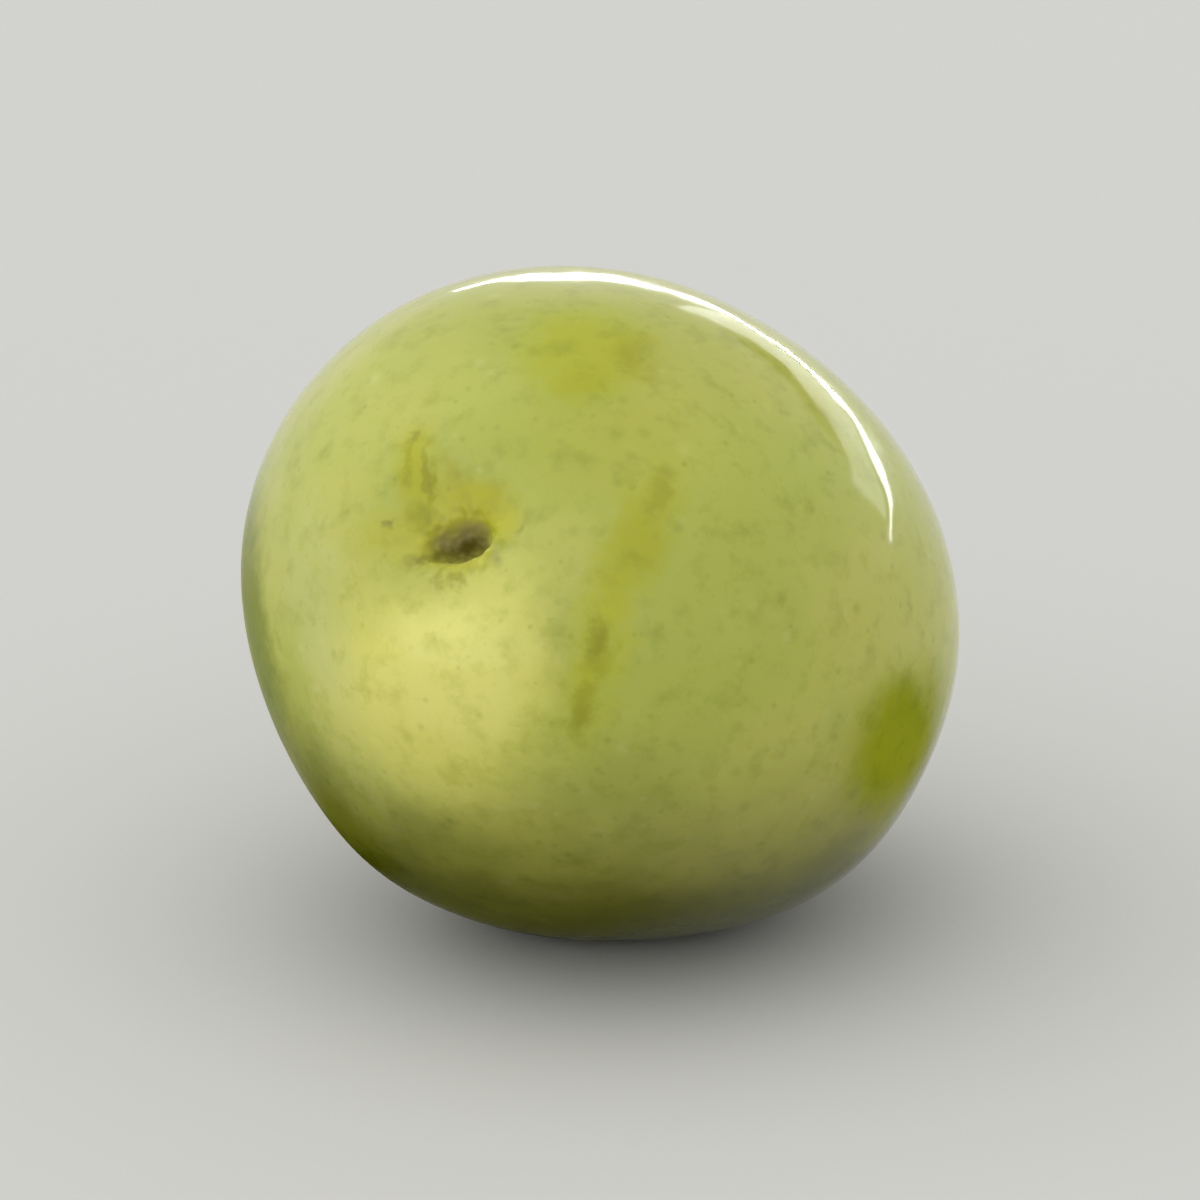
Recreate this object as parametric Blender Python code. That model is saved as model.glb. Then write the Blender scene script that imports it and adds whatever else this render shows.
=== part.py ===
"""A green table olive, grown as one piece, built as one solid.

Units are metres with +Z up. The fruit is shaped about its own long axis, with +Z towards the
stem end and, for someone who looks at that end, +X to the right and +Y up. It is then laid as
the photograph shows it, stem end towards -Y and a little up. The origin is the middle of the
small flat spot that the olive rests on.
"""

import math

import bmesh
import bpy
from mathutils import Matrix, Vector

MM = 0.001

# Driving sizes of the fruit, in millimetres
LENGTH_MM = 24.6
BROAD_WIDTH_MM = 22.8
NARROW_WIDTH_MM = 20.8

# Direction of the broad width round the axis, and how full the two ends are (1 is an ellipse)
BROAD_TURN_DEG = -20.0
STEM_FULLNESS = 0.91
APEX_FULLNESS = 0.98

# Stem pit: a soft funnel, and in its middle the oval scar that the stem left
FUNNEL_REACH_MM = 4.2
FUNNEL_DEPTH_MM = 0.75
SCAR_LENGTH_MM = 2.8
SCAR_WIDTH_MM = 1.8
SCAR_DEPTH_MM = 0.9
SCAR_FLOOR_SHARE = 0.35
SCAR_TURN_DEG = 30.0

# Blunt point at the far end
NIPPLE_REACH_MM = 3.8
NIPPLE_HEIGHT_MM = 0.6
NIPPLE_OFFSET_MM = (0.5, 0.3)

# Broad swells and flats: turn round the axis and angle from the stem end in degrees,
# then the reach and the rise in millimetres
SWELLS = (
    (5.0, 85.0, 9.0, -0.10),
    (127.0, 85.0, 9.0, 0.28),
    (178.0, 85.0, 9.0, 0.40),
    (-120.0, 85.0, 9.0, 0.58),
    (-70.0, 85.0, 9.0, -0.27),
    (-105.0, 21.0, 4.5, 0.30),
    (-104.0, 100.0, 7.0, 0.16),
    (-84.0, 138.0, 8.0, -0.22),
    (95.0, 135.0, 7.5, -0.30),
    (-20.0, 128.0, 6.0, -0.22),
)

# How the olive lies: the stem end's height above level, and its turn from -Y towards -X
STEM_RISE_DEG = 29.0
STEM_TURN_DEG = 26.5
FLAT_SPOT_DEPTH_MM = 0.42

# Mesh of the solid: its meridians and rings, and how far the rings crowd to the ends
MERIDIANS = 72
RINGS = 54
RING_CROWDING = 0.6
SNAP_MM = 0.06

SKIN_COLOUR = (0.39, 0.40, 0.09, 1.0)
SKIN_ROUGHNESS = 0.28


def clear_scene():
    """Removes the objects that the scene starts with."""
    for obj in list(bpy.data.objects):
        bpy.data.objects.remove(obj, do_unlink=True)


def ease(distance, reach):
    """The weight of a push: 1 in its middle, easing to 0 at its reach."""
    left = max(0.0, 1.0 - distance / reach)
    return left * left * (3.0 - 2.0 * left)


def crowded_angle(angle):
    """The angle from the stem end of a ring that started at an even spacing."""
    return angle - RING_CROWDING * math.sin(2.0 * angle) / 2.0


def body_point(turn, angle):
    """The plain barrel of the fruit, before its swells, pit and point."""
    towards_apex = (1.0 - math.cos(angle)) / 2.0
    fullness = STEM_FULLNESS + (APEX_FULLNESS - STEM_FULLNESS) * towards_apex
    breadth = math.sin(angle) ** fullness
    side = turn - math.radians(BROAD_TURN_DEG)
    across = Vector((
        BROAD_WIDTH_MM / 2.0 * breadth * math.cos(side),
        NARROW_WIDTH_MM / 2.0 * breadth * math.sin(side),
        LENGTH_MM / 2.0 * math.cos(angle),
    ))
    return Matrix.Rotation(math.radians(BROAD_TURN_DEG), 3, "Z") @ across


def swell(point):
    """The point moved out or in by the broad swells and flats."""
    moved = point.copy()
    for turn_deg, angle_deg, reach, rise in SWELLS:
        middle = body_point(math.radians(turn_deg), math.radians(angle_deg))
        moved += middle.normalized() * rise * ease((point - middle).length, reach)
    return moved


def sink_stem_pit(point):
    """The point lowered by the funnel and the scar, both at the stem end."""
    scar = Matrix.Rotation(math.radians(-SCAR_TURN_DEG), 2) @ point.xy
    from_scar = Vector((2.0 * scar.x / SCAR_LENGTH_MM, 2.0 * scar.y / SCAR_WIDTH_MM)).length
    from_floor = max(0.0, from_scar - SCAR_FLOOR_SHARE)
    drop = FUNNEL_DEPTH_MM * ease(point.xy.length, FUNNEL_REACH_MM)
    drop += SCAR_DEPTH_MM * ease(from_floor, 1.0 - SCAR_FLOOR_SHARE)
    return point - Vector((0.0, 0.0, drop))


def raise_nipple(point):
    """The point drawn out into the blunt tip at the apex."""
    from_tip = (point.xy - Vector(NIPPLE_OFFSET_MM)).length
    return point - Vector((0.0, 0.0, NIPPLE_HEIGHT_MM * ease(from_tip, NIPPLE_REACH_MM)))


def fruit_point(unit):
    """The place on the fruit of a point of the unit sphere, in millimetres."""
    turn = math.atan2(unit.y, unit.x)
    angle = crowded_angle(math.acos(max(-1.0, min(1.0, unit.z))))
    point = swell(body_point(turn, angle))
    return sink_stem_pit(point) if unit.z > 0.0 else raise_nipple(point)


def lying_rotation():
    """The turn from the fruit's own axes to the way it lies."""
    tip_forward = Matrix.Rotation(math.radians(90.0 - STEM_RISE_DEG), 3, "X")
    return Matrix.Rotation(math.radians(-STEM_TURN_DEG), 3, "Z") @ tip_forward


def cut_flat_spot(bm):
    """Cuts the flat spot, and returns the middle of the face that closes it."""
    level = min(vert.co.z for vert in bm.verts) + FLAT_SPOT_DEPTH_MM * MM
    cut = bmesh.ops.bisect_plane(
        bm,
        geom=bm.verts[:] + bm.edges[:] + bm.faces[:],
        dist=SNAP_MM * MM,
        plane_co=(0.0, 0.0, level),
        plane_no=(0.0, 0.0, -1.0),
        use_snap_center=True,
        clear_outer=True,
    )
    rim = [item for item in cut["geom_cut"] if isinstance(item, bmesh.types.BMEdge)]
    closing = bmesh.ops.edgeloop_fill(bm, edges=rim)["faces"][0]
    return closing.calc_center_median()


def build_fruit_mesh():
    """The fruit's closed mesh, lying on its flat spot with the origin in that spot's middle."""
    bm = bmesh.new()
    bmesh.ops.create_uvsphere(bm, u_segments=MERIDIANS, v_segments=RINGS, radius=1.0)
    lying = lying_rotation()
    for vert in bm.verts:
        vert.co = lying @ fruit_point(vert.co) * MM
    middle = cut_flat_spot(bm)
    bmesh.ops.translate(bm, verts=bm.verts, vec=-middle)
    bmesh.ops.recalc_face_normals(bm, faces=bm.faces)
    mesh = bpy.data.meshes.new("olive")
    bm.to_mesh(mesh)
    bm.free()
    mesh.shade_smooth()
    return mesh


def skin_material():
    """The wet green skin."""
    material = bpy.data.materials.new("olive skin")
    material.use_nodes = True
    shader = material.node_tree.nodes["Principled BSDF"]
    shader.inputs["Base Color"].default_value = SKIN_COLOUR
    shader.inputs["Roughness"].default_value = SKIN_ROUGHNESS
    shader.inputs["Metallic"].default_value = 0.0
    return material


def main():
    """Builds the olive in a collection of its own."""
    clear_scene()
    collection = bpy.data.collections.new("green_olive")
    bpy.context.scene.collection.children.link(collection)
    mesh = build_fruit_mesh()
    mesh.materials.append(skin_material())
    collection.objects.link(bpy.data.objects.new("olive", mesh))


main()
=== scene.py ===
import logging
import math
import random
from dataclasses import dataclass, field
from enum import Enum
from typing import Any, Callable, Mapping

import bmesh
import bpy
from mathutils import Euler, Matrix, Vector


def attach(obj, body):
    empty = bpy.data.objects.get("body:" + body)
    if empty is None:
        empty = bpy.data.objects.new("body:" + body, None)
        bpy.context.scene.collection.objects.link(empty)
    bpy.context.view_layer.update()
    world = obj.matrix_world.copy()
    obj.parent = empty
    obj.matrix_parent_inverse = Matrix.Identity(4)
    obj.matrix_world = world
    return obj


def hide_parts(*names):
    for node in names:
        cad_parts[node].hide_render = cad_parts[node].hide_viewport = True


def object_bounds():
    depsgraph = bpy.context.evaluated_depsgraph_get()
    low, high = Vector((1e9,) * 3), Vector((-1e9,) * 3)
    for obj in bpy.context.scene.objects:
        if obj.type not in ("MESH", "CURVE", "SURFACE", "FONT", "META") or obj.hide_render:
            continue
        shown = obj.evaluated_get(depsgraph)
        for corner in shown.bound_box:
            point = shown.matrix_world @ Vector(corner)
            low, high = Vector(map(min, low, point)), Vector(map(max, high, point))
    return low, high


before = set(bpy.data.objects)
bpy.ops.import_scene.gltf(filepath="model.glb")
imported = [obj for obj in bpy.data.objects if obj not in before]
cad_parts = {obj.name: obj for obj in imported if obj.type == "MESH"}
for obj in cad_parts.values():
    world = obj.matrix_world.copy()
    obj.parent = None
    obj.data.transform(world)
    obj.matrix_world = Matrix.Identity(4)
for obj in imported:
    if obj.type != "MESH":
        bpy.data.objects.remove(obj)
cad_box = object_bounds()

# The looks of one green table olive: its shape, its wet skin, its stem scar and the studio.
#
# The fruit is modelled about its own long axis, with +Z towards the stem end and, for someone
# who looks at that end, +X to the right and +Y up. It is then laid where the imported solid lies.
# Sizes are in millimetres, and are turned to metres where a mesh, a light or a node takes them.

MM = 0.001
NODE = "olive"
BODY = "root"
# The colour sockets of a Mix node, by number, because its kinds of data share their names.
MIX_A, MIX_B, MIX_OUT = 6, 7, 2
SAME_PLACE_M2 = 1e-14

log = logging.getLogger("olive")

Colour = tuple[float, float, float, float]


def linear(hex_code: str) -> Colour:
    """Turns an sRGB colour into the linear one that a shader takes.

    Args:
        hex_code: The colour as "#rrggbb".

    Returns:
        Linear red, green, blue and an alpha of 1.
    """
    shares = [int(hex_code[place:place + 2], 16) / 255.0 for place in (1, 3, 5)]
    red, green, blue = (
        share / 12.92 if share <= 0.04045 else ((share + 0.055) / 1.055) ** 2.4
        for share in shares
    )
    return (red, green, blue, 1.0)


def add_node(
    tree: bpy.types.NodeTree,
    kind: str,
    inputs: Mapping[Any, Any] | None = None,
    **settings: Any,
) -> bpy.types.Node:
    """Adds a node with its settings, and fills or links its inputs.

    Args:
        tree: The node tree of the material or world.
        kind: Blender's name for the node, such as "ShaderNodeMix".
        inputs: For each input's name or number, a value or the socket that feeds it.
        **settings: Fields of the node itself, such as operation.

    Returns:
        The new node.
    """
    node = tree.nodes.new(kind)
    for name, value in settings.items():
        setattr(node, name, value)
    for key, value in (inputs or {}).items():
        if isinstance(value, bpy.types.NodeSocket):
            tree.links.new(value, node.inputs[key])
        else:
            node.inputs[key].default_value = value
    return node


def deselect_all() -> None:
    """Clears the selection, which the loaded solid is still part of."""
    bpy.ops.object.select_all(action="DESELECT")


@dataclass(frozen=True)
class Push:
    """A place of the fruit that is drawn out or pressed in."""

    turn_deg: float
    angle_deg: float
    reach_mm: float
    rise_mm: float


class Bench:
    """Edit mode on one mesh, where points are picked by their place."""

    def __init__(self, obj: bpy.types.Object) -> None:
        """Keeps the object to work on."""
        self.obj = obj

    def __enter__(self) -> "Bench":
        """Opens edit mode with points as the thing to pick.

        Returns:
            The bench itself, to work at.
        """
        deselect_all()
        self.obj.select_set(True)
        bpy.context.view_layer.objects.active = self.obj
        bpy.ops.object.mode_set(mode="EDIT")
        bpy.ops.mesh.select_mode(type="VERT")
        return self

    def __exit__(self, *_: Any) -> None:
        """Goes back to object mode."""
        bpy.ops.object.mode_set(mode="OBJECT")

    def points(self) -> list[Vector]:
        """The places of all points, in metres."""
        return [vert.co.copy() for vert in bmesh.from_edit_mesh(self.obj.data).verts]

    def pick(self, wanted: Callable[[Vector], bool]) -> None:
        """Picks the points whose place is wanted, and nothing else.

        Args:
            wanted: Says of a place in metres whether it is picked.
        """
        bpy.ops.mesh.select_all(action="DESELECT")
        mesh = bmesh.from_edit_mesh(self.obj.data)
        for vert in mesh.verts:
            if wanted(vert.co):
                vert.select = True
        mesh.select_flush_mode()
        bmesh.update_edit_mesh(self.obj.data)

    def pick_all(self) -> None:
        """Picks every point."""
        bpy.ops.mesh.select_all(action="SELECT")

    def turn(self, angle_deg: float, axis: str) -> None:
        """Turns what is picked about an axis through the origin, by the right-hand rule."""
        # With no window the operator turns the other way, so the angle is given negative.
        bpy.ops.transform.rotate(
            value=-math.radians(angle_deg), orient_axis=axis, center_override=(0.0, 0.0, 0.0)
        )

    def narrow(self, share: float) -> None:
        """Narrows what is picked along Y, about the axis."""
        bpy.ops.transform.resize(value=(1.0, share, 1.0), center_override=(0.0, 0.0, 0.0))

    def drag(self, move: Vector, reach: float) -> None:
        """Moves what is picked, and its neighbours less and less out to a reach, in metres."""
        bpy.ops.transform.translate(
            value=move,
            use_proportional_edit=True,
            proportional_edit_falloff="SMOOTH",
            proportional_size=reach,
        )

    def push(self, place: Vector, move: Vector, reach: float) -> None:
        """Moves the point nearest to a place, and its neighbours less and less.

        Args:
            place: Where to push, in metres.
            move: How far the nearest point goes, in metres.
            reach: How far round it the push is felt, in metres.
        """
        nearest = min(self.points(), key=lambda point: (point - place).length_squared)
        self.pick(lambda point: (point - nearest).length_squared < SAME_PLACE_M2)
        self.drag(move, reach)


class Ground(Enum):
    """What a random pattern presses in, and which way: along the axis, or square to the skin."""

    SCAR = "Z"
    SKIN = "NORMAL"


@dataclass(frozen=True)
class StemPit:
    """The soft funnel at the stem end and the oval scar in it, in millimetres."""

    funnel_reach: float = 4.2
    funnel_depth: float = 0.75
    scar_length: float = 3.0
    scar_width: float = 1.62
    scar_depth: float = 0.80
    scar_floor_share: float = 0.16
    scar_turn_deg: float = 27.0
    scar_floor_shift: tuple[float, float] = (0.09, -0.28)
    oval_fades_at: float = 3.4
    rings: tuple[float, ...] = (
        0.22, 0.44, 0.64, 0.82, 0.98, 1.12, 1.26, 1.40, 1.54, 1.70, 1.92, 2.20, 2.55, 3.0, 3.5,
    )
    crease_count: int = 11
    crease_depth: float = 0.06
    crease_width: float = 0.34
    crease_ends: tuple[float, float] = (1.45, 2.9)
    crease_near: float = 0.07
    crease_length_shares: tuple[float, float] = (0.65, 1.0)
    crease_depth_shares: tuple[float, float] = (0.5, 1.0)
    spacing_sway: float = 0.3
    chip_count: int = 13
    chip_reach: float = 0.38
    chip_move: tuple[float, float] = (-0.09, 0.10)
    cork_cell: float = 0.24
    cork_depth: float = 0.12
    cork_reaches: tuple[float, float] = (1.80, 1.00)
    cork_steps: int = 16
    seed: int = 5

    def spaced(self, draw: random.Random, number: int, count: int) -> float:
        """The share of a full turn where one of some unevenly spaced places lies."""
        return (number + draw.uniform(-self.spacing_sway, self.spacing_sway)) / count

    @staticmethod
    def ease(distance: float, reach: float) -> float:
        """The weight of a push: 1 in its middle, easing to 0 at its reach."""
        left = max(0.0, 1.0 - distance / reach)
        return left * left * (3.0 - 2.0 * left)

    def scar_drop(self, radius: float) -> float:
        """How far the scar lowers a ring that starts at this radius."""
        from_floor = max(0.0, 2.0 * radius / self.scar_length - self.scar_floor_share)
        return self.scar_depth * self.ease(from_floor, 1.0 - self.scar_floor_share)

    def oval(self, radius: float) -> float:
        """How far a ring of this radius is narrowed across the scar: 1 is a circle.

        Args:
            radius: The ring's radius before it is narrowed, in millimetres.

        Returns:
            Its width as a share of its length.
        """
        narrowest = self.scar_width / self.scar_length
        half_length = self.scar_length / 2.0
        outside = max(0.0, radius - half_length) / (self.oval_fades_at - half_length)
        return narrowest + (1.0 - narrowest) * min(1.0, outside)

    def rim_place(self, share: float, level: float) -> Vector:
        """A place on the scar's rim.

        Args:
            share: How far round the rim, from 0 to 1.
            level: The rim's height along the axis, in millimetres.

        Returns:
            The place about the fruit's own axes, in metres.
        """
        turn = 2.0 * math.pi * share
        place = Vector((self.scar_length / 2.0 * math.cos(turn),
                        self.scar_width / 2.0 * math.sin(turn), level))
        place.rotate(Euler((0.0, 0.0, math.radians(self.scar_turn_deg))))
        return place * MM


@dataclass
class OliveFruit:
    """The whole fruit, in millimetres and degrees."""

    length: float = 24.6
    broad_width: float = 22.8
    narrow_width: float = 20.8
    broad_turn_deg: float = -20.0
    stem_fullness: float = 0.91
    apex_fullness: float = 0.98
    pit: StemPit = field(default_factory=StemPit)
    nipple_reach: float = 3.8
    nipple_height: float = 0.6
    nipple_offset: tuple[float, float] = (0.5, 0.3)
    stem_rise_deg: float = 29.0
    stem_turn_deg: float = 26.5
    swells: tuple[Push, ...] = (
        Push(5.0, 85.0, 9.0, -0.10),
        Push(127.0, 85.0, 9.0, 0.28),
        Push(178.0, 85.0, 9.0, 0.40),
        Push(-120.0, 85.0, 9.0, 0.58),
        Push(-70.0, 85.0, 9.0, -0.27),
        Push(-105.0, 21.0, 4.5, 0.30),
        Push(-104.0, 100.0, 7.0, 0.16),
        Push(-84.0, 138.0, 8.0, -0.22),
        Push(95.0, 135.0, 7.5, -0.30),
        Push(-20.0, 128.0, 6.0, -0.22),
    )
    dent_span: float = 5.0
    dent_depth: float = 0.14
    meridians: int = 80
    stations: int = 50
    station_crowding: float = 0.6
    weld_within: float = 0.01
    ring_within: float = 0.004
    cut_within: float = 0.002
    rounding_levels: int = 2
    centre: Vector = field(default_factory=Vector)

    def station_angle(self, number: int) -> float:
        """The angle from the stem end of a station, which crowd towards both ends."""
        even = math.pi * number / self.stations
        return even - self.station_crowding * math.sin(2.0 * even) / 2.0

    def body_radius(self, angle: float) -> float:
        """The round body's half width at an angle from the stem end.

        Args:
            angle: The angle from the stem end, in radians.

        Returns:
            The half width, in millimetres.
        """
        towards_apex = (1.0 - math.cos(angle)) / 2.0
        fullness = self.stem_fullness + (self.apex_fullness - self.stem_fullness) * towards_apex
        return self.broad_width / 2.0 * max(0.0, math.sin(angle)) ** fullness

    def angle_at(self, radius: float) -> float:
        """The angle from the stem end where the round body has this half width."""
        return math.asin((2.0 * radius / self.broad_width) ** (1.0 / self.stem_fullness))

    def outline_angles(self) -> list[float]:
        """The angles of all stations: close rings over the pit, then on to the apex.

        Returns:
            Angles from the stem end, in radians, from 0 to a half turn.
        """
        close = [0.0] + [self.angle_at(radius) for radius in self.pit.rings]
        even = [self.station_angle(number) for number in range(self.stations + 1)]
        gap = close[-1] - close[-2]
        return close + [angle for angle in even if angle > close[-1] + gap / 2.0]

    def level(self, angle: float) -> float:
        """The height along the axis at an angle from the stem end, in metres."""
        return self.length / 2.0 * math.cos(angle) * MM

    def body_place(self, turn_deg: float, angle_deg: float) -> Vector:
        """A place on the plain body, before its swells.

        Args:
            turn_deg: The turn round the axis from +X towards +Y.
            angle_deg: The angle from the stem end.

        Returns:
            The place about the fruit's own axes, in metres.
        """
        angle = math.radians(angle_deg)
        side = math.radians(turn_deg - self.broad_turn_deg)
        across = Vector((math.cos(side), math.sin(side) * self.narrow_width / self.broad_width))
        across *= self.body_radius(angle) * MM
        place = Vector((across.x, across.y, self.level(angle)))
        place.rotate(Euler((0.0, 0.0, math.radians(self.broad_turn_deg))))
        return place

    def lying(self) -> Euler:
        """How the fruit's own axes are turned as it lies."""
        return Euler((math.radians(90.0 - self.stem_rise_deg), 0.0,
                      math.radians(-self.stem_turn_deg)))

    def build(self) -> bpy.types.Object:
        """Models the fruit from its half outline to the finished mesh.

        Returns:
            The finished piece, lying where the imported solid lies.
        """
        obj = self.draw_half_outline()
        with Bench(obj) as bench:
            self.spin_body(bench)
            self.sink_scar(bench)
            self.narrow_body(bench)
            self.press_swells(bench)
            self.sink_funnel(bench)
            self.draw_nipple(bench)
            self.chip_rim(bench)
            self.fold_creases(bench)
        self.round_off(obj)
        with Bench(obj) as bench:
            self.mark_scar(bench)
        self.press(obj, Ground.SCAR, self.pit.cork_cell, self.pit.cork_depth)
        with Bench(obj) as bench:
            self.lay_down(bench)
        self.press(obj, Ground.SKIN, self.dent_span, self.dent_depth)
        with Bench(obj) as bench:
            self.cut_flat_spot(bench)
        bpy.ops.object.shade_smooth()
        return obj

    def draw_half_outline(self) -> bpy.types.Object:
        """Draws the outline from the stem end to the apex, point by point.

        Returns:
            An object that holds the half outline as a row of edges.
        """
        deselect_all()
        bpy.ops.mesh.primitive_plane_add(size=MM, location=(0.0, 0.0, 0.0))
        obj = bpy.context.object
        obj.name = obj.data.name = "olive_fruit"
        outline = [
            Vector((self.body_radius(angle) * MM, 0.0, self.level(angle)))
            for angle in self.outline_angles()
        ]
        with Bench(obj) as bench:
            bench.pick_all()
            bpy.ops.mesh.merge(type="CENTER")
            bpy.ops.transform.translate(value=outline[0])
            for start, end in zip(outline, outline[1:]):
                bpy.ops.mesh.extrude_vertices_move(TRANSFORM_OT_translate={"value": end - start})
        return obj

    def spin_body(self, bench: Bench) -> None:
        """Spins the half outline about the axis into a closed round body.

        Args:
            bench: The fruit in edit mode.
        """
        bench.pick_all()
        bpy.ops.mesh.spin(
            steps=self.meridians, angle=2.0 * math.pi, center=(0.0, 0.0, 0.0), axis=(0.0, 0.0, 1.0)
        )
        bench.pick_all()
        bpy.ops.mesh.remove_doubles(threshold=self.weld_within * MM)
        bpy.ops.mesh.normals_make_consistent(inside=False)

    def sink_scar(self, bench: Bench) -> None:
        """Sinks the scar ring by ring, and narrows each ring to the scar's oval.

        Args:
            bench: The fruit in edit mode.
        """
        near = self.ring_within * MM
        for radius in (0.0, *self.pit.rings):
            if radius >= self.pit.oval_fades_at:
                continue
            level = self.level(self.angle_at(radius))
            bench.pick(lambda point: abs(point.z - level) < near
                       and abs(point.xy.length - radius * MM) < near)
            bench.narrow(self.pit.oval(radius))
            drop = self.pit.scar_drop(radius)
            shift = Vector(self.pit.scar_floor_shift) * drop / self.pit.scar_depth
            bpy.ops.transform.translate(value=Vector((*shift, -drop)) * MM)
        bench.pick_all()
        bench.turn(self.pit.scar_turn_deg, "Z")

    def narrow_body(self, bench: Bench) -> None:
        """Makes the round body narrower one way, turned as the real one.

        Args:
            bench: The fruit in edit mode.
        """
        bench.pick_all()
        bench.turn(-self.broad_turn_deg, "Z")
        bench.narrow(self.narrow_width / self.broad_width)
        bench.turn(self.broad_turn_deg, "Z")

    def press_swells(self, bench: Bench) -> None:
        """Draws out and presses in the broad swells and flats.

        Args:
            bench: The fruit in edit mode.
        """
        for push in self.swells:
            place = self.body_place(push.turn_deg, push.angle_deg)
            bench.push(place, place.normalized() * push.rise_mm * MM, push.reach_mm * MM)

    def sink_funnel(self, bench: Bench) -> None:
        """Presses in the soft funnel round the scar.

        Args:
            bench: The fruit in edit mode.
        """
        floor = Vector((0.0, 0.0, (self.length / 2.0 - self.pit.scar_depth) * MM))
        drop = Vector((0.0, 0.0, -self.pit.funnel_depth * MM))
        bench.push(floor, drop, self.pit.funnel_reach * MM)

    def draw_nipple(self, bench: Bench) -> None:
        """Draws out the blunt point at the apex."""
        apex = Vector((*self.nipple_offset, -self.length / 2.0)) * MM
        bench.push(apex, Vector((0.0, 0.0, -self.nipple_height * MM)), self.nipple_reach * MM)

    def chip_rim(self, bench: Bench) -> None:
        """Draws the scar's rim in and out by lot, so that it isn't a clean oval.

        Args:
            bench: The fruit in edit mode.
        """
        draw = random.Random(self.pit.seed)
        level = self.length / 2.0 - self.pit.funnel_depth
        for number in range(self.pit.chip_count):
            place = self.pit.rim_place(self.pit.spaced(draw, number, self.pit.chip_count), level)
            out = place.xy.normalized() * draw.uniform(*self.pit.chip_move) * MM
            bench.push(place, Vector((out.x, out.y, 0.0)), self.pit.chip_reach * MM)

    def fold_creases(self, bench: Bench) -> None:
        """Presses short uneven creases into the funnel, out from the scar's rim.

        Args:
            bench: The fruit in edit mode.
        """
        draw = random.Random(self.pit.seed)
        for number in range(self.pit.crease_count):
            turn = 2.0 * math.pi * self.pit.spaced(draw, number, self.pit.crease_count)
            along = Vector((math.cos(turn), math.sin(turn)))
            start = self.pit.crease_ends[0] * MM
            end = self.pit.crease_ends[1] * draw.uniform(*self.pit.crease_length_shares) * MM
            bench.pick(lambda point: point.z > 0.0 and start < point.xy.dot(along) < end
                       and abs(point.xy.cross(along)) < self.pit.crease_near * MM)
            sink = self.pit.crease_depth * draw.uniform(*self.pit.crease_depth_shares) * MM
            bench.drag(Vector((0.0, 0.0, -sink)), self.pit.crease_width * MM)

    def round_off(self, obj: bpy.types.Object) -> None:
        """Rounds the mesh off between its points.

        Args:
            obj: The fruit.
        """
        rounding = obj.modifiers.new("rounding", "SUBSURF")
        rounding.levels = rounding.render_levels = self.rounding_levels
        bpy.ops.object.modifier_apply(modifier=rounding.name)

    def mark_scar(self, bench: Bench) -> None:
        """Gathers the scar's points in a group that fades out, step by step, over its rim.

        Args:
            bench: The fruit in edit mode.
        """
        bpy.ops.object.vertex_group_add()
        middle = Vector((0.0, 0.0, self.length / 2.0 - self.pit.funnel_depth)) * MM
        outer, inner = self.pit.cork_reaches
        for number in range(1, self.pit.cork_steps + 1):
            share = number / self.pit.cork_steps
            reach = (outer + (inner - outer) * share) * MM
            bench.pick(lambda point: (point - middle).length < reach)
            bpy.context.scene.tool_settings.vertex_group_weight = share
            bpy.ops.object.vertex_group_assign()

    def press(self, obj: bpy.types.Object, ground: Ground, cell: float, depth: float) -> None:
        """Presses the surface in by a soft random pattern, never out.

        Args:
            obj: The fruit.
            ground: The scar, for its corky relief, or the skin round it, for shallow dents.
            cell: The pattern's span, in millimetres.
            depth: The deepest press, in millimetres.
        """
        clouds = bpy.data.textures.new(ground.name, "CLOUDS")
        clouds.noise_scale = cell * MM
        clouds.noise_depth = 0
        press = obj.modifiers.new(ground.name, "DISPLACE")
        press.texture, press.texture_coords = clouds, "LOCAL"
        press.direction = ground.value
        press.mid_level, press.strength = 1.0, depth * MM
        press.vertex_group = obj.vertex_groups.active.name
        press.invert_vertex_group = ground is Ground.SKIN
        bpy.ops.object.modifier_apply(modifier=press.name)

    def lay_down(self, bench: Bench) -> None:
        """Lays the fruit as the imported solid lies, and moves it to its place.

        Args:
            bench: The fruit in edit mode.
        """
        bench.pick_all()
        bench.turn(90.0 - self.stem_rise_deg, "X")
        bench.turn(-self.stem_turn_deg, "Z")
        points = bench.points()
        highest = Vector([max(point[axis] for point in points) for axis in range(3)])
        self.centre = cad_box[1] - highest
        bpy.ops.transform.translate(value=self.centre)

    def cut_flat_spot(self, bench: Bench) -> None:
        """Cuts the flat spot that the fruit rests on, level with the solid's.

        Args:
            bench: The fruit in edit mode.
        """
        near = self.cut_within * MM
        bench.pick_all()
        bpy.ops.mesh.bisect(
            plane_co=(0.0, 0.0, cad_box[0].z + near),
            plane_no=(0.0, 0.0, 1.0),
            use_fill=True,
            clear_inner=True,
            threshold=near,
        )


class Layer(Enum):
    """How a colour is laid over another."""

    COVER = "MIX"
    SHADE = "MULTIPLY"


@dataclass(frozen=True)
class Blotch:
    """A soft patch of another colour, placed about the fruit's own axes in millimetres."""

    colour: str
    strength: float
    centre: tuple[float, float, float]
    radii: tuple[float, float, float]
    turn_deg: float = 0.0
    full_share: float = 0.2
    layer: Layer = Layer.COVER


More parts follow.
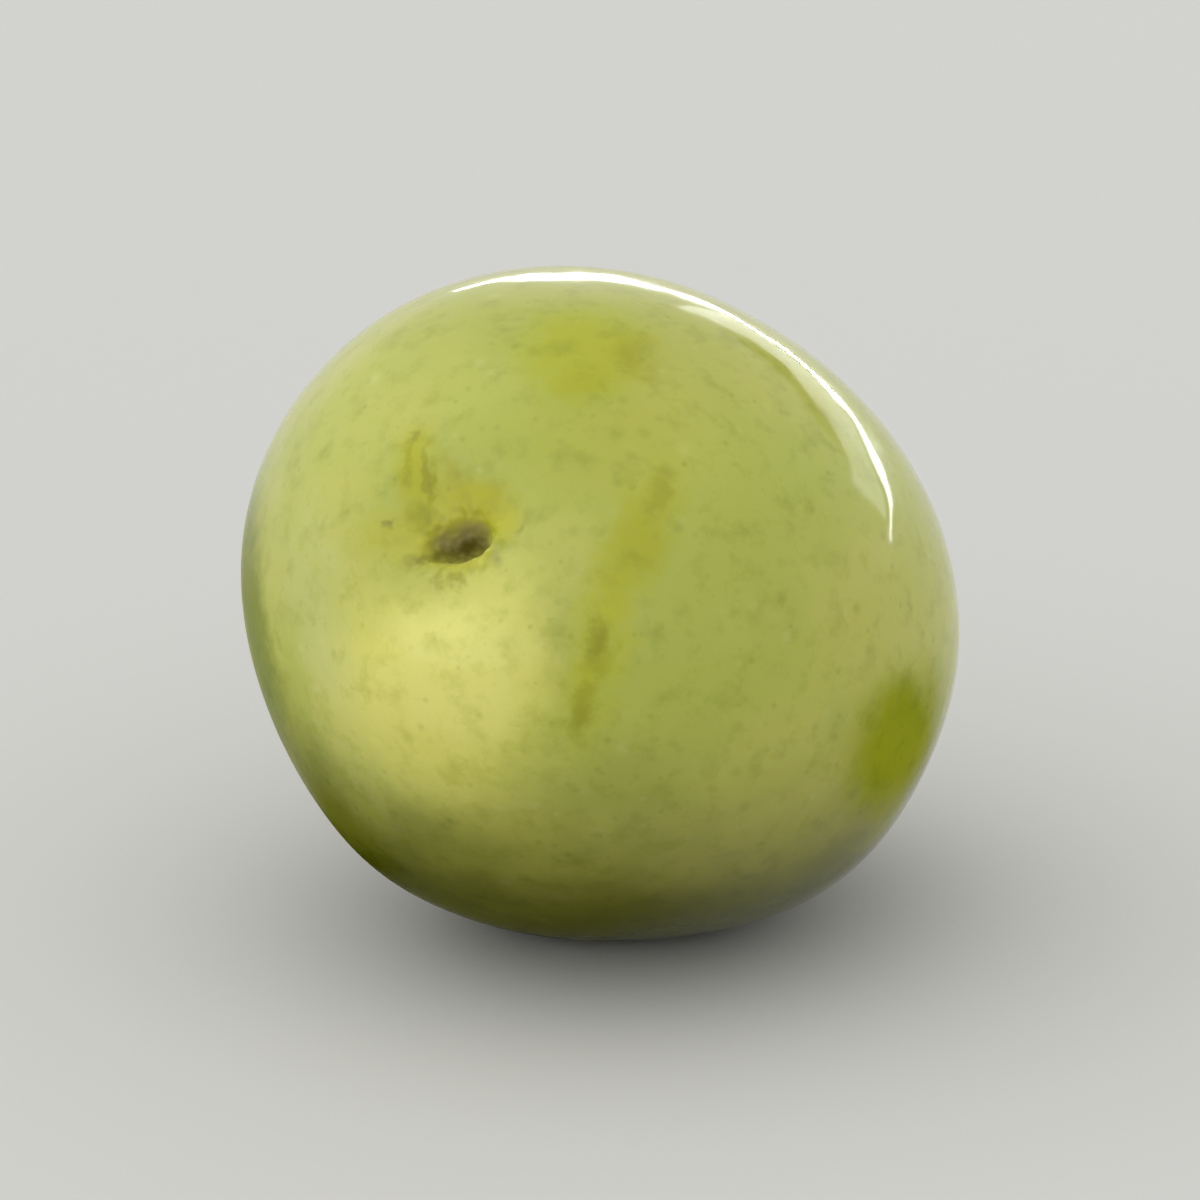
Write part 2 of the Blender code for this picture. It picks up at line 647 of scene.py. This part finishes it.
@dataclass(frozen=True)
class HiddenSides:
    """Blushes and small corky marks on the sides that the photo doesn't show."""

    camera_side: tuple[float, float, float] = (0.0, -0.935, 0.353)
    fade_mm: tuple[float, float] = (1.0, -3.0)
    blush_mm: float = 6.0
    blush_edges: tuple[float, float] = (0.46, 0.78)
    blushes: tuple[tuple[str, Layer], ...] = (
        ("#bdb954", Layer.COVER),
        ("#b2c290", Layer.SHADE),
        ("#dccf9c", Layer.SHADE),
    )
    cork_cell_mm: float = 3.6
    cork_sizes: tuple[float, float] = (0.05, 0.18)
    cork_stretch: float = 0.55
    cork_colour: str = "#6a5c28"


@dataclass(frozen=True)
class BrinedSkin:
    """Waxy skin of a brine-cured green olive, wet with its brine.

    It gives the eye a milky green that drifts between leaf green and straw yellow, with fine
    darker freckles and brown at the stem, under the clear even gloss of the wet film.
    """

    leaf_green: str = "#a8ae4a"
    straw_green: str = "#b3b252"
    # Painted shade: this colour is laid darker and darker towards the bottom, standing in for the
    # shade on the lower side.
    painted_underside_shade: str = "#454700"
    mottle_shade: str = "#d3d8a0"
    freckle_shade: str = "#bac374"
    pale_freckle: str = "#ccce84"
    drift_mm: float = 6.0
    drift_edges: tuple[float, float] = (0.35, 0.65)
    mottle_mm: float = 0.90
    mottle_edges: tuple[float, float] = (0.5, 0.72)
    mottle_strength: float = 0.5
    freckle_cells_mm: tuple[float, ...] = (0.95, 0.55)
    freckle_strength: float = 0.38
    pale_cell_mm: float = 1.2
    pale_strength: float = 0.30
    dot_sizes: tuple[float, float] = (0.12, 0.36)
    film_mm: float = 2.2
    film_rise_mm: float = 0.05
    film_roughness: float = 0.10
    refraction: float = 1.42
    skin_roughness: float = 0.45
    glow: float = 0.6
    glow_shares: tuple[float, float, float] = (1.0, 0.95, 0.35)
    glow_mm: float = 1.2
    wobble_cell_mm: float = 1.1
    wobble_mm: float = 0.70
    # The levels, strength and sway of that painted shade towards the bottom.
    painted_shade_levels_mm: tuple[float, float] = (11.5, 2.0)
    painted_shade_cover: float = 0.95
    painted_shade_sway_mm: float = 5.0
    sides: HiddenSides = field(default_factory=HiddenSides)
    patches: tuple[Blotch, ...] = (
        # Pale straw skin under the pit, brightened further by a painted pool of light on the bulge
        # there.
        Blotch("#cfcb60", 0.92, (-0.8, -5.3, 10.5), (6.2, 4.9, 4.8), 8.0, 0.20),
        Blotch("#cdca66", 0.62, (1.7, -3.2, 11.3), (2.7, 4.4, 3.2), 4.0, 0.45),
        Blotch("#dad574", 0.70, (-0.2, -4.4, 11.2), (4.6, 3.0, 3.4), 8.0, 0.20),
        Blotch("#dcd980", 0.42, (0.8, -4.0, 11.5), (3.2, 3.0, 3.0), 0.0, 0.40),
        # Painted shade towards the left edge and low on the left, and a painted milky sheen in a
        # band along that edge.
        Blotch("#b4be78", 0.85, (-11.6, -4.0, 5.5), (6.0, 9.0, 7.5), 0.0, 0.4, Layer.SHADE),
        Blotch("#b4ba74", 0.80, (-6.6, -9.3, 4.2), (5.4, 5.4, 5.8), 0.0, 0.4, Layer.SHADE),
        Blotch("#aeb868", 0.68, (-8.8, -2.8, 7.2), (1.8, 6.8, 4.2), 20.0, 0.3, Layer.SHADE),
        Blotch("#bcc280", 0.36, (-4.7, -2.9, 10.7), (2.2, 5.0, 3.0), 22.0, 0.2),
        # Painted shade over the skin above the streak, toning down the film's pale reflection
        # there, and over the whole top; low on the left, a thin painted dark line where a
        # reflection ends.
        Blotch("#f6f5cc", 1.00, (3.4, 4.0, 10.7), (4.6, 3.6, 4.0), 0.0, 0.2, Layer.SHADE),
        Blotch("#7f8418", 0.50, (-3.6, -7.95, 7.0), (0.34, 2.3, 1.6), 44.0, 0.1),
        Blotch("#e6ebcc", 0.80, (0.0, 9.0, 7.0), (11.0, 7.0, 8.0), 0.0, 0.2, Layer.SHADE),
        # The yellow patch at the top.
        Blotch("#a4a508", 0.85, (1.5, 6.9, 9.0), (2.6, 3.1, 4.5), 33.0, 0.30),
        Blotch("#979400", 0.75, (2.9, 7.1, 8.5), (0.8, 1.5, 2.0), 33.0, 0.15),
        Blotch("#9fa000", 0.75, (2.2, 5.7, 9.9), (1.2, 1.0, 2.0), 33.0, 0.15),
        # The brown-yellow streak, partly skin colour and partly painted shade where the sheen
        # breaks off, and its darker knots.
        Blotch("#adae16", 0.85, (5.2, -0.9, 10.4), (1.2, 6.4, 3.5), -5.4, 0.15),
        Blotch("#a0a00c", 0.60, (5.5, 1.2, 10.4), (1.5, 2.8, 3.5), -3.0, 0.1),
        Blotch("#8a8a00", 0.84, (5.10, -2.3, 10.9), (0.66, 1.1, 1.5), -5.0, 0.1),
        Blotch("#8a8900", 0.70, (4.82, -4.3, 10.0), (0.62, 1.7, 1.5), -8.0, 0.1),
        Blotch("#8f8e0a", 0.55, (5.55, 2.9, 10.2), (0.50, 1.1, 1.5), 0.0, 0.1),
        # The ochre stain above the pit.
        Blotch("#aeac2c", 0.75, (-1.9, -0.2, 11.6), (2.1, 1.4, 1.4), 8.0, 0.2),
        Blotch("#a9a804", 0.88, (-1.85, 1.8, 11.6), (1.10, 2.6, 1.5), 21.0, 0.20),
        Blotch("#a8a400", 0.90, (0.20, 1.30, 11.6), (2.40, 1.25, 1.5), -2.0, 0.15),
        Blotch("#a3a01c", 0.60, (-0.75, 2.15, 11.6), (0.40, 0.85, 1.3), 35.0, 0.2),
        Blotch("#b2b014", 0.60, (1.50, 0.80, 11.6), (0.80, 1.00, 1.2), 0.0, 0.1),
        Blotch("#999800", 0.80, (-1.45, 0.45, 11.6), (0.85, 0.60, 1.2), 0.0, 0.2),
        Blotch("#969500", 0.60, (-2.20, 2.2, 11.6), (0.22, 1.3, 1.5), 12.0, 0.2),
        Blotch("#939200", 0.85, (-1.42, 1.65, 11.6), (0.24, 1.45, 1.5), 14.0, 0.3),
        Blotch("#8e8c14", 0.70, (-2.35, 3.0, 11.5), (0.36, 0.42, 1.2), 0.0, 0.2),
        # Painted dark reflection low on the right: a clearer, deeper green patch where the sheen
        # is missing.
        Blotch("#8c9106", 0.90, (11.0, -2.6, 0.0), (2.8, 3.3, 4.2), 0.0, 0.30),
        Blotch("#7c860a", 0.45, (11.2, -1.3, 0.0), (1.7, 1.5, 2.2), 0.0, 0.2),
        Blotch("#8e9010", 0.60, (10.4, -4.6, -2.2), (2.6, 2.2, 2.6), 0.0, 0.1),
    )
    marks: tuple[Blotch, ...] = (
        # The scar: its brown rim, its grey cork, and its dark floor and a dark tail along its
        # lower lip, which are brown cork darkened further by painted shade in the recess.
        Blotch("#9c9632", 0.80, (-0.15, 0.0, 11.3), (1.90, 1.40, 1.6), 30.0, 0.15),
        Blotch("#918658", 0.90, (-0.05, 0.10, 11.0), (1.35, 0.95, 1.5), 30.0, 0.15),
        Blotch("#6c6722", 0.85, (-0.95, -0.62, 11.2), (1.35, 0.36, 1.2), 14.0, 0.1),
        Blotch("#60561a", 0.95, (0.05, -0.20, 10.8), (0.95, 0.55, 1.3), 27.0, 0.2),
        # Small stains round the scar.
        Blotch("#908e1e", 0.65, (-0.29, -1.18, 11.6), (0.30, 0.45, 0.9), 0.0, 0.1),
        Blotch("#949222", 0.55, (0.24, -1.16, 11.6), (0.24, 0.40, 0.9), 0.0, 0.1),
        Blotch("#9a9658", 0.50, (1.32, -0.25, 11.6), (0.42, 0.55, 0.9), 0.0, 0.1),
        Blotch("#8c8a2c", 0.55, (2.05, 0.65, 11.7), (0.24, 0.36, 0.9), -20.0, 0.1),
        Blotch("#7f7d20", 0.75, (-2.36, 0.12, 11.7), (0.22, 0.22, 0.9), 0.0, 0.1),
        # The brown scar on the blunt point at the apex.
        Blotch("#8c7c34", 0.80, (0.5, 0.3, -12.9), (1.3, 1.2, 1.2), 0.0, 0.2),
        Blotch("#4a3c18", 0.85, (0.5, 0.3, -12.9), (0.45, 0.38, 0.8), 0.0, 0.2),
    )
    # Only the places and strengths of these count: there the wet film is thin or missing.
    dry_places: tuple[Blotch, ...] = (
        Blotch("", 1.0, (0.05, -0.10, 10.8), (2.00, 1.40, 2.0), 27.0, 0.6),
        Blotch("", 0.9, (11.0, -2.6, 0.0), (3.2, 3.4, 4.4), 0.0, 0.35),
        Blotch("", 0.7, (-9.0, -6.0, 4.0), (7.5, 9.0, 9.0), 0.0, 0.5),
        Blotch("", 0.85, (0.5, -10.2, 4.2), (9.5, 5.4, 7.6), 0.0, 0.35),
    )

    def build(self, fruit: OliveFruit) -> bpy.types.Material:
        """Makes the material.

        Args:
            fruit: The fruit that wears it, which says where its own axes lie.

        Returns:
            The finished material.
        """
        material = bpy.data.materials.new("brined_olive_skin")
        material.use_nodes = True
        tree = material.node_tree
        tree.nodes.clear()
        place = add_node(tree, "ShaderNodeTexCoord").outputs["Object"]
        axes = add_node(
            tree, "ShaderNodeMapping",
            {"Vector": place, "Location": fruit.centre, "Rotation": fruit.lying(),
             "Scale": (MM, MM, MM)},
            vector_type="TEXTURE",
        ).outputs["Vector"]
        film = add_node(
            tree, "ShaderNodeTexNoise",
            {"Vector": axes, "Scale": 1.0 / self.film_mm, "Detail": 1.0, "Roughness": 0.5},
        ).outputs["Fac"]
        film = add_node(
            tree, "ShaderNodeBump",
            {"Height": film, "Strength": 1.0, "Distance": self.film_rise_mm * MM},
        ).outputs["Normal"]
        wobbly = self.wobble(tree, axes)
        shader = add_node(
            tree, "ShaderNodeBsdfPrincipled",
            {"Base Color": self.colour(tree, axes, wobbly, place, fruit),
             "Roughness": self.skin_roughness, "IOR": self.refraction,
             "Specular IOR Level": 0.0, "Subsurface Weight": self.glow,
             "Subsurface Radius": self.glow_shares, "Subsurface Scale": self.glow_mm * MM,
             "Coat Weight": self.film_cover(tree, wobbly),
             "Coat Roughness": self.film_roughness, "Coat IOR": self.refraction,
             "Coat Normal": film},
        )
        add_node(tree, "ShaderNodeOutputMaterial", {"Surface": shader.outputs["BSDF"]})
        return material

    def colour(
        self,
        tree: bpy.types.NodeTree,
        axes: bpy.types.NodeSocket,
        wobbly: bpy.types.NodeSocket,
        place: bpy.types.NodeSocket,
        fruit: OliveFruit,
    ) -> bpy.types.NodeSocket:
        """Lays the ground colour, the painted shade below, the patches with their painted light
        and shade, the mottling and the marks over each other.

        Args:
            tree: The material's nodes.
            axes: Places about the fruit's own axes, in millimetres.
            wobbly: The same places, shifted unevenly.
            place: Places in the world's axes, in metres.
            fruit: The fruit that wears the skin.

        Returns:
            The skin's colour.
        """
        drift = add_node(
            tree, "ShaderNodeTexNoise",
            {"Vector": axes, "Scale": 1.0 / self.drift_mm, "Detail": 3.0, "Roughness": 0.55},
        ).outputs["Fac"]
        straw = add_node(
            tree, "ShaderNodeMapRange",
            {"Value": drift, "From Min": self.drift_edges[0], "From Max": self.drift_edges[1]},
            interpolation_type="SMOOTHSTEP",
        ).outputs["Result"]
        colour = add_node(
            tree, "ShaderNodeMix",
            {"Factor": straw, MIX_A: linear(self.leaf_green), MIX_B: linear(self.straw_green)},
            data_type="RGBA",
        ).outputs[MIX_OUT]
        dots = self.dots(tree, axes, self.pale_cell_mm, self.dot_sizes, self.pale_strength)
        colour = self.lay(tree, colour, self.pale_freckle, dots)
        hidden = self.hidden_cover(tree, place, fruit)
        colour = self.lay_blushes(tree, colour, axes, hidden)
        # Painted shade, darker towards the bottom.
        colour = self.lay(tree, colour, self.painted_underside_shade, self.painted_shade_below(tree, place, drift))
        for blotch in self.patches:
            cover = self.patch(tree, wobbly, blotch)
            colour = self.lay(tree, colour, blotch.colour, cover, blotch.layer)
        mottle = add_node(
            tree, "ShaderNodeTexNoise",
            {"Vector": axes, "Scale": 1.0 / self.mottle_mm, "Detail": 4.0, "Roughness": 0.6},
        ).outputs["Fac"]
        mottle = add_node(
            tree, "ShaderNodeMapRange",
            {"Value": mottle, "From Min": self.mottle_edges[0],
             "From Max": self.mottle_edges[1], "To Max": self.mottle_strength},
        ).outputs["Result"]
        colour = self.lay(tree, colour, self.mottle_shade, mottle, Layer.SHADE)
        for cell in self.freckle_cells_mm:
            dots = self.dots(tree, axes, cell, self.dot_sizes, self.freckle_strength)
            colour = self.lay(tree, colour, self.freckle_shade, dots, Layer.SHADE)
        for blotch in self.marks:
            colour = self.lay(tree, colour, blotch.colour, self.patch(tree, wobbly, blotch))
        drawn_out = add_node(
            tree, "ShaderNodeMapping",
            {"Vector": wobbly, "Scale": (1.0, 1.0, self.sides.cork_stretch)},
        ).outputs["Vector"]
        corks = self.dots(
            tree, drawn_out, self.sides.cork_cell_mm, self.sides.cork_sizes, hidden
        )
        return self.lay(tree, colour, self.sides.cork_colour, corks)

    def hidden_cover(
        self, tree: bpy.types.NodeTree, place: bpy.types.NodeSocket, fruit: OliveFruit
    ) -> bpy.types.NodeSocket:
        """Where the fruit's hidden sides are: 1 there, fading to 0 towards the camera.

        Args:
            tree: The material's nodes.
            place: Places in the world's axes, in metres.
            fruit: The fruit that wears the skin.

        Returns:
            The share by which a place is hidden.
        """
        towards = Vector(self.sides.camera_side)
        level = add_node(
            tree, "ShaderNodeVectorMath", {0: place, 1: towards}, operation="DOT_PRODUCT",
        ).outputs["Value"]
        start, end = (fruit.centre.dot(towards) + fade * MM for fade in self.sides.fade_mm)
        return add_node(
            tree, "ShaderNodeMapRange", {"Value": level, "From Min": start, "From Max": end},
            interpolation_type="SMOOTHSTEP",
        ).outputs["Result"]

    def lay_blushes(
        self,
        tree: bpy.types.NodeTree,
        under: bpy.types.NodeSocket,
        axes: bpy.types.NodeSocket,
        hidden: bpy.types.NodeSocket,
    ) -> bpy.types.NodeSocket:
        """Lays broad soft blushes, straw, deeper green and tawny, on the hidden sides.

        Args:
            tree: The material's nodes.
            under: The colour below.
            axes: Places about the fruit's own axes, in millimetres.
            hidden: Where the hidden sides are.

        Returns:
            The colour with the blushes.
        """
        noise = add_node(
            tree, "ShaderNodeTexNoise",
            {"Vector": axes, "Scale": 1.0 / self.sides.blush_mm, "Detail": 2.0,
             "Roughness": 0.5},
        ).outputs["Color"]
        draws = add_node(tree, "ShaderNodeSeparateColor", {"Color": noise})
        low, high = self.sides.blush_edges
        for draw, (colour, layer) in zip(draws.outputs, self.sides.blushes):
            cover = add_node(
                tree, "ShaderNodeMapRange",
                {"Value": draw, "From Min": low, "From Max": high, "To Max": hidden},
                interpolation_type="SMOOTHSTEP",
            ).outputs["Result"]
            under = self.lay(tree, under, colour, cover, layer)
        return under

    def lay(
        self,
        tree: bpy.types.NodeTree,
        under: bpy.types.NodeSocket,
        hex_code: str,
        cover: bpy.types.NodeSocket,
        layer: Layer = Layer.COVER,
    ) -> bpy.types.NodeSocket:
        """Lays a colour over another.

        Args:
            tree: The material's nodes.
            under: The colour below.
            hex_code: The colour on top.
            cover: How much of the colour below it covers.
            layer: Whether it covers or only shades what is below.

        Returns:
            The two together.
        """
        return add_node(
            tree, "ShaderNodeMix", {"Factor": cover, MIX_A: under, MIX_B: linear(hex_code)},
            data_type="RGBA", blend_type=layer.value,
        ).outputs[MIX_OUT]

    def painted_shade_below(
        self,
        tree: bpy.types.NodeTree,
        place: bpy.types.NodeSocket,
        drift: bpy.types.NodeSocket,
    ) -> bpy.types.NodeSocket:
        """The cover of the painted shade, darker towards the bottom of the lying fruit.

        Args:
            tree: The material's nodes.
            place: Places in the world's axes, in metres.
            drift: Slow noise about 0.5, which sways the edge up and down.

        Returns:
            Its cover, from 0 above its upper level.
        """
        height = add_node(tree, "ShaderNodeSeparateXYZ", {"Vector": place}).outputs["Z"]
        sway = self.painted_shade_sway_mm * MM
        height = add_node(
            tree, "ShaderNodeMath", {0: drift, 1: sway, 2: height}, operation="MULTIPLY_ADD",
        ).outputs["Value"]
        high, low = (level * MM + sway / 2.0 for level in self.painted_shade_levels_mm)
        return add_node(
            tree, "ShaderNodeMapRange",
            {"Value": height, "From Min": high, "From Max": low,
             "To Max": self.painted_shade_cover},
            interpolation_type="SMOOTHSTEP",
        ).outputs["Result"]

    def wobble(self, tree: bpy.types.NodeTree, axes: bpy.types.NodeSocket) -> bpy.types.NodeSocket:
        """Shifts places unevenly, so that a patch laid on them gets an uneven edge.

        Args:
            tree: The material's nodes.
            axes: Places about the fruit's own axes, in millimetres.

        Returns:
            The shifted places, in millimetres.
        """
        shift = add_node(
            tree, "ShaderNodeTexNoise",
            {"Vector": axes, "Scale": 1.0 / self.wobble_cell_mm, "Detail": 3.0,
             "Roughness": 0.65},
        ).outputs["Color"]
        shift = add_node(
            tree, "ShaderNodeVectorMath", {0: shift, 1: (0.5, 0.5, 0.5)}, operation="SUBTRACT",
        ).outputs["Vector"]
        return add_node(
            tree, "ShaderNodeVectorMath",
            {0: shift, 1: (2.0 * self.wobble_mm,) * 3, 2: axes}, operation="MULTIPLY_ADD",
        ).outputs["Vector"]

    def patch(
        self, tree: bpy.types.NodeTree, axes: bpy.types.NodeSocket, blotch: Blotch
    ) -> bpy.types.NodeSocket:
        """The cover of one soft patch.

        Args:
            tree: The material's nodes.
            axes: Places about the fruit's own axes, in millimetres.
            blotch: Where the patch is, and how strong.

        Returns:
            Its strength in its middle, falling to 0 at its edge.
        """
        inside = add_node(
            tree, "ShaderNodeMapping",
            {"Vector": axes, "Location": blotch.centre, "Scale": blotch.radii,
             "Rotation": (0.0, 0.0, math.radians(blotch.turn_deg))},
            vector_type="TEXTURE",
        ).outputs["Vector"]
        away = add_node(
            tree, "ShaderNodeVectorMath", {0: inside}, operation="LENGTH",
        ).outputs["Value"]
        return add_node(
            tree, "ShaderNodeMapRange",
            {"Value": away, "From Min": 1.0, "From Max": blotch.full_share,
             "To Max": blotch.strength},
            interpolation_type="SMOOTHSTEP",
        ).outputs["Result"]

    def dots(
        self,
        tree: bpy.types.NodeTree,
        axes: bpy.types.NodeSocket,
        cell_mm: float,
        sizes: tuple[float, float],
        strength: float | bpy.types.NodeSocket,
    ) -> bpy.types.NodeSocket:
        """The cover of soft dots of uneven size and strength.

        Args:
            tree: The material's nodes.
            axes: Places about the fruit's own axes, in millimetres.
            cell_mm: The mean distance between dots.
            sizes: The radii of the smallest and the largest dot, as shares of that distance.
            strength: The cover of the strongest dot.

        Returns:
            The cover, 0 between the dots.
        """
        cells = add_node(tree, "ShaderNodeTexVoronoi", {"Vector": axes, "Scale": 1.0 / cell_mm})
        draws = add_node(tree, "ShaderNodeSeparateColor", {"Color": cells.outputs["Color"]})
        size = add_node(
            tree, "ShaderNodeMapRange",
            {"Value": draws.outputs["Red"], "To Min": sizes[0], "To Max": sizes[1]},
        ).outputs["Result"]
        away = add_node(
            tree, "ShaderNodeMath", {0: cells.outputs["Distance"], 1: size}, operation="DIVIDE",
        ).outputs["Value"]
        most = add_node(
            tree, "ShaderNodeMath", {0: draws.outputs["Green"], 1: strength},
            operation="MULTIPLY",
        ).outputs["Value"]
        return add_node(
            tree, "ShaderNodeMapRange",
            {"Value": away, "From Min": 1.0, "From Max": 0.0, "To Max": most},
            interpolation_type="SMOOTHSTEP",
        ).outputs["Result"]

    def film_cover(
        self, tree: bpy.types.NodeTree, axes: bpy.types.NodeSocket
    ) -> bpy.types.NodeSocket:
        """The wet film: 1 all over, but less in the dry places.

        Args:
            tree: The material's nodes.
            axes: Places about the fruit's own axes, in millimetres.

        Returns:
            The film's cover.
        """
        cover: float | bpy.types.NodeSocket = 1.0
        for dry in self.dry_places:
            cover = add_node(
                tree, "ShaderNodeMath", {0: cover, 1: self.patch(tree, axes, dry)},
                operation="SUBTRACT", use_clamp=True,
            ).outputs["Value"]
        return cover


@dataclass(frozen=True)
class Softbox:
    """A flat light with a cloth front that faces the olive."""

    name: str
    azimuth_deg: float
    elevation_deg: float
    distance_m: float
    width_m: float
    height_m: float
    power_w: float
    spread_deg: float = 180.0

    def build(self, target: Vector) -> None:
        """Stands the light where it belongs and turns it to the olive.

        Args:
            target: The place that it faces, in metres.
        """
        away = direction(self.azimuth_deg, self.elevation_deg)
        deselect_all()
        bpy.ops.object.light_add(type="AREA", location=target + away * self.distance_m)
        light = bpy.context.object
        light.name = light.data.name = self.name
        light.rotation_euler = away.to_track_quat("Z", "Y").to_euler()
        light.data.shape = "RECTANGLE"
        light.data.size, light.data.size_y = self.width_m, self.height_m
        light.data.energy = self.power_w
        light.data.spread = math.radians(self.spread_deg)


def direction(azimuth_deg: float, elevation_deg: float) -> Vector:
    """The way from the olive to something round it.

    Args:
        azimuth_deg: 0 is in front, towards -Y, and 90 is at the right, towards +X.
        elevation_deg: The height above the horizon.

    Returns:
        A direction of length 1.
    """
    turn, rise = math.radians(azimuth_deg), math.radians(elevation_deg)
    return Vector((
        math.sin(turn) * math.cos(rise), -math.cos(turn) * math.cos(rise), math.sin(rise),
    ))


@dataclass(frozen=True)
class Studio:
    """The pale floor, the soft lights and the camera."""

    floor_colour: str = "#c6c4bf"
    floor_side_m: float = 3.0
    floor_thickness_m: float = 0.02
    floor_gap_m: float = 0.00002
    floor_roughness: float = 0.85
    room_colour: str = "#f4f6f8"
    room_strength: tuple[float, float] = (0.86, 0.80)
    room_levels_deg: tuple[float, float] = (0.0, 75.0)
    window_strength: float = 0.76
    window_towards: tuple[float, float] = (-55.0, 50.0)
    window_spread_deg: tuple[float, float] = (10.0, 85.0)
    dark_strength: float = 0.10
    dark_towards: tuple[float, float] = (150.0, 0.0)
    dark_spread_deg: tuple[float, float] = (17.0, 20.0)
    camera_elevation_deg: float = 20.7
    camera_distance_m: float = 0.945
    lens_mm: float = 900.0
    sensor_mm: float = 36.0
    camera_sees_m: tuple[float, float] = (0.01, 20.0)
    softboxes: tuple[Softbox, ...] = (
        Softbox("back_panel", 150.0, 9.0, 0.90, 0.62, 0.14, 0.50),
        Softbox("rim_strip", 163.0, 1.8, 0.85, 0.76, 0.016, 0.20, 70.0),
        Softbox("rim_strip_end", 133.0, 1.8, 0.85, 0.18, 0.014, 0.012, 70.0),
    )

    def build(self, target: Vector) -> None:
        """Builds the whole studio.

        Args:
            target: The middle of the olive, in metres.
        """
        self.lay_floor()
        self.light_room()
        for softbox in self.softboxes:
            softbox.build(target)
        self.set_camera(target)
        bpy.context.scene.view_settings.view_transform = "Standard"

    def lay_floor(self) -> bpy.types.Object:
        """Lays a wide matte slab just under the olive.

        Returns:
            The floor.
        """
        deselect_all()
        bpy.ops.mesh.primitive_plane_add(
            size=self.floor_side_m, location=(0.0, 0.0, -self.floor_gap_m)
        )
        floor = bpy.context.object
        floor.name = floor.data.name = "floor"
        bpy.ops.object.transform_apply(location=True, rotation=True, scale=True)
        with Bench(floor) as bench:
            bench.pick_all()
            bpy.ops.mesh.extrude_region_move(
                TRANSFORM_OT_translate={"value": (0.0, 0.0, -self.floor_thickness_m)}
            )
            bench.pick_all()
            bpy.ops.mesh.normals_make_consistent(inside=False)
        # Matte board paint: an even pale ground that takes soft shadows.
        material = bpy.data.materials.new("matte_board_paint")
        material.use_nodes = True
        tree = material.node_tree
        tree.nodes.clear()
        shader = add_node(
            tree, "ShaderNodeBsdfPrincipled",
            {"Base Color": linear(self.floor_colour), "Roughness": self.floor_roughness},
        )
        add_node(tree, "ShaderNodeOutputMaterial", {"Surface": shader.outputs["BSDF"]})
        floor.data.materials.append(material)
        return floor

    def light_room(self) -> None:
        """Fills the room with soft light, more from the left and little from behind the olive."""
        world = bpy.data.worlds.new("studio_room")
        world.use_nodes = True
        tree = world.node_tree
        tree.nodes.clear()
        low, high = self.room_levels_deg
        straight_up = (0.0, 90.0)
        room = self.side(tree, straight_up, (90.0 - high, 90.0 - low), *self.room_strength)
        window = self.side(tree, self.window_towards, self.window_spread_deg, 0.0,
                           self.window_strength)
        opening = self.side(tree, self.dark_towards, self.dark_spread_deg, 1.0,
                            self.dark_strength)
        strength = add_node(
            tree, "ShaderNodeMath", {0: room, 1: window}, operation="ADD",
        ).outputs["Value"]
        strength = add_node(
            tree, "ShaderNodeMath", {0: strength, 1: opening}, operation="MULTIPLY",
        ).outputs["Value"]
        light = add_node(
            tree, "ShaderNodeBackground",
            {"Color": linear(self.room_colour), "Strength": strength},
        )
        add_node(tree, "ShaderNodeOutputWorld", {"Surface": light.outputs["Background"]})
        # The room's light is so even that rays find it well enough by chance, and sooner.
        world.cycles.sampling_method = "NONE"
        bpy.context.scene.world = world

    def side(
        self,
        tree: bpy.types.NodeTree,
        towards: tuple[float, float],
        spread_deg: tuple[float, float],
        away: float,
        facing: float,
    ) -> bpy.types.NodeSocket:
        """A strength that changes towards one side of the room.

        Args:
            tree: The world's nodes.
            towards: Azimuth and elevation of the side's middle, in degrees.
            spread_deg: How far from that middle the change ends, and where it starts.
            away: The strength in the rest of the room.
            facing: The strength on that side.

        Returns:
            The strength in each direction.
        """
        look = add_node(tree, "ShaderNodeTexCoord").outputs["Generated"]
        share = add_node(
            tree, "ShaderNodeVectorMath", {0: look, 1: direction(*towards)},
            operation="DOT_PRODUCT",
        ).outputs["Value"]
        inner, outer = (math.cos(math.radians(angle)) for angle in spread_deg)
        return add_node(
            tree, "ShaderNodeMapRange",
            {"Value": share, "From Min": outer, "From Max": inner, "To Min": away,
             "To Max": facing},
            interpolation_type="SMOOTHSTEP",
        ).outputs["Result"]

    def set_camera(self, target: Vector) -> None:
        """Stands the camera at the photograph's viewing angle.

        Args:
            target: The place that it looks at, in metres.
        """
        away = direction(0.0, self.camera_elevation_deg)
        deselect_all()
        bpy.ops.object.camera_add(location=target + away * self.camera_distance_m)
        camera = bpy.context.object
        camera.name = camera.data.name = "camera"
        camera.rotation_euler = away.to_track_quat("Z", "Y").to_euler()
        camera.data.lens, camera.data.sensor_width = self.lens_mm, self.sensor_mm
        camera.data.clip_start, camera.data.clip_end = self.camera_sees_m
        bpy.context.scene.camera = camera


def main() -> None:
    """Builds the olive and its studio, in order."""
    logging.basicConfig(level=logging.INFO, format="%(name)s: %(message)s")
    fruit = OliveFruit()
    olive = fruit.build()
    olive.data.materials.clear()
    olive.data.materials.append(BrinedSkin().build(fruit))
    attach(olive, BODY)
    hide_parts(NODE)
    log.info("%s: %d faces", olive.name, len(olive.data.polygons))
    Studio().build((cad_box[0] + cad_box[1]) / 2.0)
    log.info("studio: floor, softboxes and camera")
    bpy.context.view_layer.update()


if __name__ == "__main__":
    main()
